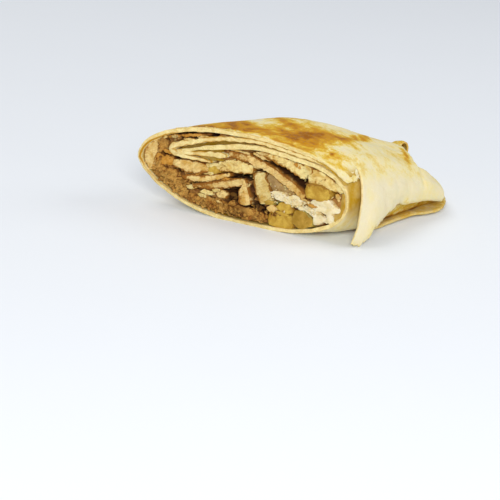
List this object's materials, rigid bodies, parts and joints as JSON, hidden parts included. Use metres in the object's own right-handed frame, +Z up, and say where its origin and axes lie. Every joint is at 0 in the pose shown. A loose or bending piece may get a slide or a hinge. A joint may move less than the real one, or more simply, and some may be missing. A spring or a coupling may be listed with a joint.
{
  "type": "gyro wrap half",
  "caption": "Half of a toasted flatbread wrap cut on a slant, showing rolled bread layers round sliced chicken, potato, pickle and white sauce, with a loose flap and a folded closed end.",
  "frame": {"origin": "under the middle of the bounding box, on the surface it lies on", "axes": "+X along the roll from the cut towards the closed end, +Y towards the long side, +Z up"},
  "size_m": [0.1484, 0.0802, 0.0431],
  "materials": {
    "flatbread": "soft thin flatbread, pale with toasted golden brown patches",
    "roast_meat": "moist roast chicken, tan with browned edges",
    "seared_meat": "seared orange-brown chicken",
    "pale_meat": "pale cooked chicken and potato, moist",
    "crumbled_meat": "fine crumbled chicken, uneven",
    "potato": "yellow fried potato, moist",
    "sauce": "white garlic sauce, soft gloss",
    "pickle": "olive-green pickle, wet"
  },
  "bodies": {
    "root": {"flatbread": "flatbread", "tip_slice": "roast_meat", "thin_slice": "roast_meat", "long_slice": "roast_meat", "tip_lump": "roast_meat", "crumb_pink": "roast_meat", "crumb_ruddy": "roast_meat", "top_slice": "seared_meat", "seared_piece": "seared_meat", "upper_slice": "seared_meat", "crumb_brown": "seared_meat", "crumb_dark": "seared_meat", "left_slice": "pale_meat", "potato_strip": "pale_meat", "middle_slice": "pale_meat", "wedge_slice": "pale_meat", "upright_slice": "pale_meat", "side_slice": "pale_meat", "crumb_pale": "pale_meat", "left_crumble": "crumbled_meat", "bottom_crumble": "crumbled_meat", "potato_chunk": "potato", "golden_slab": "potato", "potato_corner": "potato", "crumb_yellow": "potato", "sauce_strip": "sauce", "crumb_white": "sauce", "sauce_dab": "sauce", "sauce_pool": "sauce", "onion_wedge": "pickle", "pickle": "pickle"}
  },
  "joints": []
}
